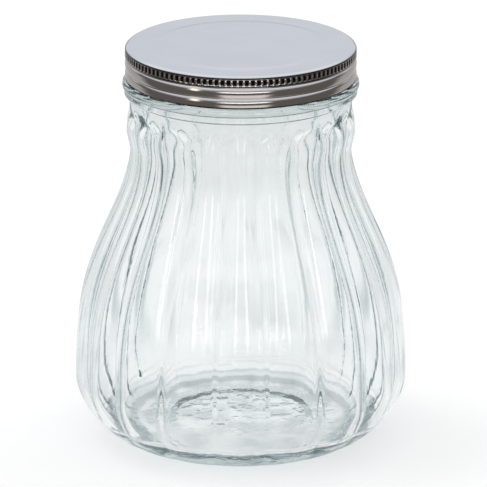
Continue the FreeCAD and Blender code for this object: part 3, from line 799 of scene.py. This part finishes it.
def clear_glass(glass, group):
    """Clear pressed glass: it bends light, takes a tint where it is thick, and has a soft relief.

    Lamps reach through it, because a shadow ray meets a Transparent shader instead.
    """
    material, tree = new_material("clear_glass")
    place = add_node(tree, "ShaderNodeTexCoord").outputs["Object"]
    stretched = add_node(tree, "ShaderNodeMapping", {"Vector": place, "Scale": GLASS_STRETCH})
    uneven = use_group(tree, group, {"Vector": stretched.outputs[0], **GLASS_UNEVEN})
    x, y, height = add_node(tree, "ShaderNodeSeparateXYZ", {0: place}).outputs
    surface = add_node(tree, "ShaderNodeBsdfPrincipled", {
        "Base Color": glass_tone(tree, glass, height, axis_distance(tree, x, y), uneven),
        "Metallic": 0.0, "Roughness": 0.0, "IOR": glass.ior, "Transmission Weight": 1.0,
        "Normal": glass_relief(tree, glass, place, height, uneven)})
    lamp_way = add_node(tree, "ShaderNodeBsdfTransparent", {"Color": (*glass.shadow_tint, 1.0)})
    path = add_node(tree, "ShaderNodeLightPath")
    either = add_node(tree, "ShaderNodeMixShader", {0: path.outputs["Is Shadow Ray"],
                                                    1: surface.outputs[0], 2: lamp_way.outputs[0]})
    depth = add_node(tree, "ShaderNodeVolumeAbsorption", {"Color": (*glass.tint, 1.0),
                                                          "Density": glass.tint_strength})
    add_node(tree, "ShaderNodeOutputMaterial", {"Surface": either.outputs[0],
                                                "Volume": depth.outputs[0]})
    return material


def painted_groove_shade(tree, lid, reach, z):
    """1 where shade is painted on the lid's band: in the flutes, and above and below the knurls."""
    shoulder, band = LID_HIGH.z - SHOULDER_FALL, lid.skirt_radius + lid.bulge
    low, high, soft = BAND_SHADE_SPAN
    outer = ramp_value(tree, reach, *[band - inset for inset in BAND_SHADE_REACH])
    beside = window(tree, z, shoulder - low, shoulder - high, soft)
    on_band = calculate(tree, "MULTIPLY", outer, beside)
    sunk = ramp_value(tree, reach, *[band - share * lid.knurl_depth for share in FLUTE_SHARES],
                      1.0, 0.0)
    knurled = window(tree, z, shoulder - lid.knurl_low, shoulder - lid.knurl_high, KNURL_END_SOFT)
    dark = calculate(tree, "MAXIMUM", sunk, calculate(tree, "SUBTRACT", 1.0, knurled))
    return calculate(tree, "MULTIPLY", on_band, dark)


def steel_tone(tree, lid, place, up, uneven):
    """The steel's colour: patchy on the top, with painted shade on the skirt, the grooves and the hem.
    """
    worn = tuple(STEEL_WORN * part for part in lid.steel)
    tone = blend_colour(tree, uneven.outputs["Patches"], tuple(lid.steel), worn)
    # Painted shade with a warm painted reflection: faces that turn aside get the darker, browner skirt
    # colour.
    tone = blend_colour(tree, ramp_value(tree, up, *SKIRT_SHADE_UP), tuple(lid.skirt_painted_shade), tone)
    x, y, z = add_node(tree, "ShaderNodeSeparateXYZ", {0: place}).outputs
    grooves = painted_groove_shade(tree, lid, axis_distance(tree, x, y), z)
    # Painted shade in the flutes and on the band above and below the knurls.
    tone = blend_colour(tree, grooves, tone, PAINTED_SHADE)
    # Painted shadow at the foot of the hem, where it meets the gap above the collar.
    hem = ramp_value(tree, z, *[LID_LOW.z + rise for rise in HEM_PAINTED_SHADOW], 1.0, 0.0)
    return blend_colour(tree, hem, tone, PAINTED_SHADE)


def bright_steel(lid, group):
    """Bright steel sheet: rougher on the level top, glossier on the skirt, browner there by painted
    shade.
    """
    material, tree = new_material("bright_steel")
    place = add_node(tree, "ShaderNodeTexCoord").outputs["Object"]
    uneven = use_group(tree, group, {"Vector": place, **STEEL_UNEVEN})
    normal = add_node(tree, "ShaderNodeNewGeometry").outputs["Normal"]
    up = add_node(tree, "ShaderNodeSeparateXYZ", {0: normal}).outputs["Z"]
    level = ramp_value(tree, up, *LEVEL_UP)
    patchy = ramp_value(tree, uneven.outputs["Patches"], 0.0, 1.0,
                        *[share * lid.gloss for share in GLOSS_RANGE])
    roughness = calculate(tree, "MULTIPLY_ADD", level, LEVEL_ROUGHNESS, patchy)
    bump = add_node(tree, "ShaderNodeBump", {"Height": uneven.outputs["Relief"], "Strength": 0.02,
                                             "Distance": 0.05 * MM})
    surface = add_node(tree, "ShaderNodeBsdfPrincipled", {
        "Base Color": steel_tone(tree, lid, place, up, uneven), "Metallic": 1.0,
        "Roughness": roughness, "Normal": bump.outputs[0]})
    add_node(tree, "ShaderNodeOutputMaterial", {"Surface": surface.outputs[0]})
    return material


def heading(tree, x, y):
    """The angle around the jar from the front, -pi to pi, positive to the right."""
    return calculate(tree, "ARCTAN2", x, calculate(tree, "MULTIPLY", y, -1.0))


def dark_strips(tree, side, studio):
    """1 on upright dark strips that stand evenly around the jar, 0 between them.

    The angle is folded back and forth over half a spacing, so it is 0 on a white middle and half a
    spacing on a strip's middle.
    """
    half_spacing = math.pi / studio.strips
    folded = calculate(tree, "PINGPONG", calculate(tree, "ABSOLUTE", side), half_spacing)
    edge = half_spacing - 0.5 * studio.strip_width
    return ramp_value(tree, folded, edge - STRIP_SOFT, edge + STRIP_SOFT)


def floor_for_glass(tree, studio, place, side, away):
    """The floor as glass finds it: clouded white, patchy and shaded at the jar's foot.

    The shade is one soft disc and two rings.  Further off the floor gets greyer, and the lower ends
    of the dark strips lie on it.
    """
    clouds = add_node(tree, "ShaderNodeTexNoise", {"Vector": place, **CLOUD_NOISE})
    tone = blend_colour(tree, ramp_value(tree, clouds.outputs[0], *CLOUD_RANGE), WHITE, GLASS_CLOUD)
    patches = add_node(tree, "ShaderNodeTexNoise", {"Vector": place, **PATCH_NOISE})
    patchy = ramp_value(tree, patches.outputs[0], *PATCH_RANGE)
    under = ramp_value(tree, away, *PATCHES_END, 1.0, 0.0)
    tone = blend_colour(tree, calculate(tree, "MULTIPLY", patchy, under), tone, UNDER_SHADE)
    disc = ramp_value(tree, away, *SHADED_END, SHADED_AMOUNT, 0.0)
    ring = calculate(tree, "MULTIPLY", window(tree, away, *SHADE_RING), SHADE_RING_AMOUNT)
    contact = calculate(tree, "MULTIPLY", window(tree, away, *CONTACT_RING), CONTACT_RING_AMOUNT)
    for factor in (disc, ring, contact):
        tone = blend_colour(tree, factor, tone, CONTACT_SHADE)
    tone = blend_colour(tree, ramp_value(tree, away, *FLOOR_FAR), tone, GLASS_FAR)
    beyond = ramp_value(tree, away, *STRIPS_FROM)
    strip = calculate(tree, "MULTIPLY", dark_strips(tree, side, studio), beyond)
    return blend_colour(tree, strip, tone, GLASS_DARK)


def floor_for_steel(tree, studio, side, away):
    """The floor as steel finds it: pale near the jar and behind it, bright in front, else dark."""
    behind = ramp_value(tree, calculate(tree, "ABSOLUTE", side), *FLOOR_BEHIND)
    near = ramp_value(tree, away, studio.table_radius - TABLE_SOFT,
                      studio.table_radius + TABLE_SOFT, 1.0, 0.0)
    pale = calculate(tree, "MAXIMUM", behind, near)
    tone = blend_colour(tree, pale, STEEL_DARK, STEEL_WHITE)
    ahead = patch(tree, side, FRONT_FLOOR_SIDE, away, FRONT_FLOOR_AWAY)
    return blend_colour(tree, ahead, tone, STEEL_FRONT)


def pale_floor(studio):
    """White to the camera, and still darkened by the jar's shadow through its diffuse share.

    Reflected and bent rays find a floor of their own: a sharp one comes from the glass and a rough
    one from the steel, and each finds its own surroundings.  All other light finds a plain floor.
    """
    material, tree = new_material("pale_floor")
    glow = add_node(tree, "ShaderNodeEmission", {"Color": (*WHITE, 1.0),
                                                 "Strength": studio.floor_white})
    faint = add_node(tree, "ShaderNodeBsdfDiffuse", {"Color": FLOOR_FAINT})
    white = add_node(tree, "ShaderNodeAddShader", {0: glow.outputs[0], 1: faint.outputs[0]})
    plain = add_node(tree, "ShaderNodeBsdfDiffuse", {"Color": FLOOR_PLAIN})

    place = add_node(tree, "ShaderNodeTexCoord").outputs["Object"]
    x, y, _ = add_node(tree, "ShaderNodeSeparateXYZ", {0: place}).outputs
    side = heading(tree, x, y)
    away = add_node(tree, "ShaderNodeVectorMath", {0: place}, operation="LENGTH").outputs["Value"]
    path = add_node(tree, "ShaderNodeLightPath")
    tone = blend_colour(tree, path.outputs["Is Singular Ray"],
                        floor_for_steel(tree, studio, side, away),
                        floor_for_glass(tree, studio, place, side, away))
    found = add_node(tree, "ShaderNodeEmission", {"Color": tone, "Strength": 1.0})
    bent = calculate(tree, "MAXIMUM", path.outputs["Is Glossy Ray"],
                     path.outputs["Is Transmission Ray"])
    unseen = add_node(tree, "ShaderNodeMixShader", {0: bent, 1: plain.outputs[0],
                                                    2: found.outputs[0]})
    seen = add_node(tree, "ShaderNodeMixShader", {0: path.outputs["Is Camera Ray"],
                                                  1: unseen.outputs[0], 2: white.outputs[0]})
    add_node(tree, "ShaderNodeOutputMaterial", {"Surface": seen.outputs[0]})
    return material


# ---- studio -----------------------------------------------------------------------------------

def room_for_glass(tree, studio, side, climb):
    """The room as glass finds it: white with dark strips, greyer overhead, two windows in front."""
    tone = blend_colour(tree, dark_strips(tree, side, studio), WHITE, GLASS_DARK)
    tone = blend_colour(tree, ramp_value(tree, climb, *OVERHEAD_CLIMB), tone, GLASS_OVERHEAD)
    for window_side in WINDOW_SIDES:
        tall = patch(tree, side, window_side, climb, WINDOW_CLIMB)
        tone = blend_colour(tree, tall, tone, GLASS_WINDOW)
    return tone


def room_for_steel(tree, side, climb):
    """The room as steel finds it: dark at the front and sides, pale behind and above.

    It has a soft box on the left and a low one in front.
    """
    open_side = ramp_value(tree, calculate(tree, "ABSOLUTE", side), *ROOM_BEHIND)
    open_side = calculate(tree, "MAXIMUM", open_side, ramp_value(tree, climb, *ROOM_ABOVE))
    pale = blend_colour(tree, ramp_value(tree, climb, *SKY_CLIMB), STEEL_HORIZON, STEEL_SKY)
    tone = blend_colour(tree, open_side, STEEL_DARK, pale)
    overhead = ramp_value(tree, climb, *STEEL_OVERHEAD_CLIMB)
    tone = blend_colour(tree, overhead, tone, STEEL_OVERHEAD)
    for (sides, climbs), light in ((LEFT_BOX, STEEL_LEFT_BOX), (FRONT_BOX, STEEL_FRONT_BOX)):
        tone = blend_colour(tree, patch(tree, side, sides, climb, climbs), tone, light)
    return tone


def studio_world(studio):
    """A white room for the camera, and an even pale one for all dull surfaces.

    As on the floor, sharp rays come from the glass and rough ones from the steel, and each finds
    its own room.
    """
    world = bpy.data.worlds.new("studio_world")
    world.use_nodes = True
    tree = world.node_tree
    tree.nodes.clear()
    ray = add_node(tree, "ShaderNodeTexCoord").outputs["Generated"]
    x, y, z = add_node(tree, "ShaderNodeSeparateXYZ", {0: ray}).outputs
    side = heading(tree, x, y)
    climb = calculate(tree, "ARCSINE", z)
    path = add_node(tree, "ShaderNodeLightPath")
    shade = blend_colour(tree, path.outputs["Is Singular Ray"], room_for_steel(tree, side, climb),
                         room_for_glass(tree, studio, side, climb))
    shade = blend_colour(tree, path.outputs["Is Diffuse Ray"], shade, PLAIN_LIGHT)
    shade = blend_colour(tree, path.outputs["Is Camera Ray"], shade, WHITE)
    light = add_node(tree, "ShaderNodeBackground", {"Color": shade, "Strength": 1.0})
    add_node(tree, "ShaderNodeOutputWorld", {"Surface": light.outputs[0]})
    bpy.context.scene.world = world


def soft_lamp(name, place, power):
    """A square lamp that looks at the middle of the jar, and that no reflection shows."""
    lamp = bpy.data.lights.new(name, "AREA")
    lamp.shape = "SQUARE"
    lamp.size = LAMP_SIZE
    lamp.energy = power
    holder = bpy.data.objects.new(name, lamp)
    holder.location = place
    target = Vector((0.0, 0.0, 0.5 * JAR_HIGH.z))
    holder.rotation_euler = (target - holder.location).to_track_quat("-Z", "Y").to_euler()
    holder.visible_glossy = False
    holder.visible_transmission = False
    bpy.context.scene.collection.objects.link(holder)


def studio_camera(studio):
    """The camera, in front of the jar and looking down at it."""
    camera = bpy.data.cameras.new("studio_camera")
    camera.lens = studio.lens
    camera.sensor_width = SENSOR_WIDTH
    camera.clip_end = VIEW_END
    holder = bpy.data.objects.new("studio_camera", camera)
    holder.location = (studio.camera_side, -studio.camera_distance, studio.camera_height)
    holder.rotation_euler = (0.5 * math.pi - studio.camera_tilt, 0.0, 0.0)
    bpy.context.scene.collection.objects.link(holder)
    bpy.context.scene.camera = holder


def studio_floor(studio):
    """A level floor at the jar's foot."""
    half = FLOOR_HALF
    corners = [(-half, -half, 0.0), (half, -half, 0.0), (half, half, 0.0), (-half, half, 0.0)]
    mesh = bpy.data.meshes.new("floor")
    mesh.from_pydata(corners, [], [(0, 1, 2, 3)])
    floor = bpy.data.objects.new("floor", mesh)
    floor.data.materials.append(pale_floor(studio))
    bpy.context.scene.collection.objects.link(floor)


# ---- operators and panel ----------------------------------------------------------------------

def shared_group():
    """The shared node group, built once."""
    return bpy.data.node_groups.get("uneven_surface") or uneven_surface_group()


def dress(piece, material, node):
    """Give a new piece its material and its body, and hide the node that it stands in for."""
    if len(piece.data.polygons) == 0:
        raise RuntimeError(f"{piece.name} has no faces")
    piece.data.materials.append(material)
    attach(piece, "root")
    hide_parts(node)


class JAR_OT_glass_body(bpy.types.Operator):
    """Make the lobed glass body in place of the node jar"""
    bl_idname = "jar.glass_body"
    bl_label = "Glass body"

    def execute(self, context):
        glass = context.scene.glass_body_settings
        dress(glass_body(glass), clear_glass(glass, shared_group()), "jar")
        return {"FINISHED"}


class JAR_OT_steel_lid(bpy.types.Operator):
    """Make the formed steel lid in place of the node lid"""
    bl_idname = "jar.steel_lid"
    bl_label = "Steel lid"

    def execute(self, context):
        lid = context.scene.steel_lid_settings
        dress(steel_lid(lid), bright_steel(lid, shared_group()), "lid")
        return {"FINISHED"}


class JAR_OT_studio(bpy.types.Operator):
    """Make the floor, the lamps, the world and the camera"""
    bl_idname = "jar.studio"
    bl_label = "Studio"

    def execute(self, context):
        studio = context.scene.studio_settings
        context.scene.view_settings.view_transform = "Standard"
        cycles = context.scene.cycles
        cycles.max_bounces = GLASS_BOUNCES
        cycles.transmission_bounces = GLASS_BOUNCES
        cycles.glossy_bounces = GLASS_BOUNCES
        studio_world(studio)
        studio_floor(studio)
        soft_lamp("key_lamp", KEY_PLACE, studio.key_power)
        soft_lamp("fill_lamp", FILL_PLACE, studio.fill_power)
        studio_camera(studio)
        return {"FINISHED"}


class JAR_PT_pieces(bpy.types.Panel):
    """Lists the jar's pieces and their settings"""
    bl_idname = "JAR_PT_pieces"
    bl_label = "Jar"
    bl_space_type = "VIEW_3D"
    bl_region_type = "UI"
    bl_category = "Jar"

    def draw(self, context):
        for operator, settings in PIECES:
            box = self.layout.box()
            box.operator(operator.bl_idname)
            group = getattr(context.scene, settings)
            for name in group.__annotations__:
                box.prop(group, name)


SETTINGS = {
    "glass_body_settings": GlassBodySettings,
    "steel_lid_settings": SteelLidSettings,
    "studio_settings": StudioSettings,
}
PIECES = (
    (JAR_OT_glass_body, "glass_body_settings"),
    (JAR_OT_steel_lid, "steel_lid_settings"),
    (JAR_OT_studio, "studio_settings"),
)


def register():
    for name, group in SETTINGS.items():
        bpy.utils.register_class(group)
        setattr(bpy.types.Scene, name, PointerProperty(type=group))
    for operator, _ in PIECES:
        bpy.utils.register_class(operator)
    bpy.utils.register_class(JAR_PT_pieces)


def unregister():
    bpy.utils.unregister_class(JAR_PT_pieces)
    for operator, _ in PIECES:
        bpy.utils.unregister_class(operator)
    for name, group in SETTINGS.items():
        delattr(bpy.types.Scene, name)
        bpy.utils.unregister_class(group)


def main():
    register()
    bpy.ops.jar.glass_body()
    bpy.ops.jar.steel_lid()
    bpy.ops.jar.studio()


if __name__ == "__main__":
    main()
